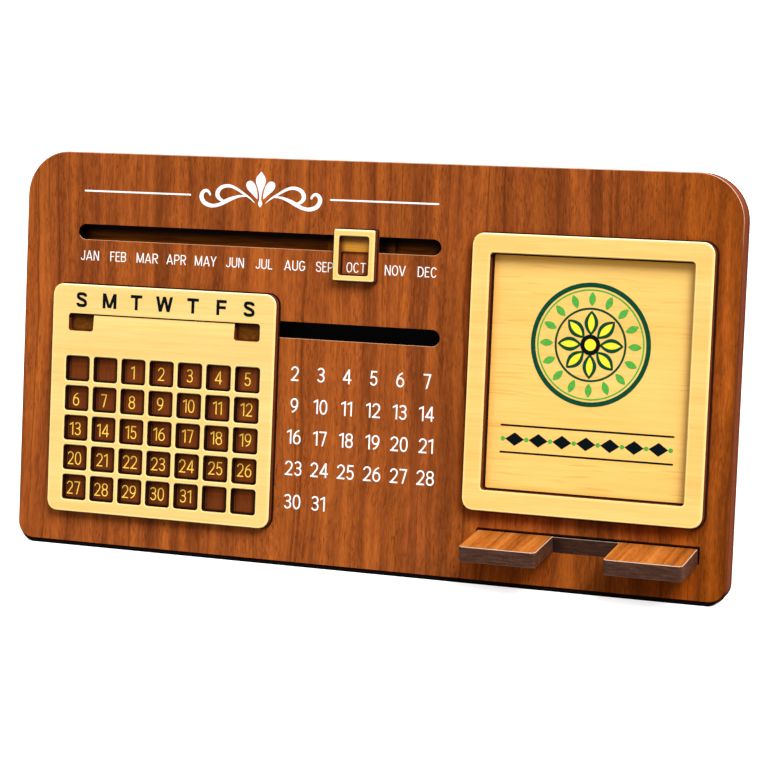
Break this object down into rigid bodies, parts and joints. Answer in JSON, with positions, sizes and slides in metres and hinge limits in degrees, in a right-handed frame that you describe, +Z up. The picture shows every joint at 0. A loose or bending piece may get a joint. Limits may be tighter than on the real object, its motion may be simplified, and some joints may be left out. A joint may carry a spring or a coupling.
{
  "type": "perpetual desk calendar",
  "caption": "Leaning walnut-faced board on two rear legs with a sliding month window, a sliding day grid, a framed picture recess and a split rest plate.",
  "frame": {"origin": "centre of the bounding box at the table surface", "axes": "+X to the right seen from the front, +Y to the back, +Z up; the board leans back by 10 degrees"},
  "size_m": [0.254, 0.0858, 0.135],
  "materials": {
    "walnut": "satin",
    "maple": "satin",
    "fibreboard": "matte",
    "steel": "satin",
    "pad": "matte"
  },
  "bodies": {
    "stand": {"front_board": "walnut", "channel_layer": "fibreboard", "back_cover": "walnut", "back_screws": "steel", "picture_frame": "maple", "frame_backing": "maple", "picture_panel": "maple", "ledge_plate": "walnut", "leg_left": "walnut", "leg_right": "walnut", "leg_brace": "walnut", "pad_left_front": "pad", "pad_left_rear": "pad", "pad_right_front": "pad", "pad_right_rear": "pad", "base_strip": "pad"},
    "month_slider": {"month_window": "maple", "month_bridge": "maple", "month_tongue": "fibreboard", "month_retainer": "fibreboard"},
    "date_slider": {"date_plate": "maple", "date_backing": "maple", "date_runner": "fibreboard", "date_retainer": "fibreboard"}
  },
  "joints": [
    {"name": "month_slide", "type": "slide", "parent": "stand", "child": "month_slider", "axis": [1, 0, 0], "range_m": [-0.0993, 0.0247]},
    {"name": "date_slide", "type": "slide", "parent": "stand", "child": "date_slider", "axis": [1, 0, 0], "range_m": [-0.0007, 0.0627]}
  ]
}
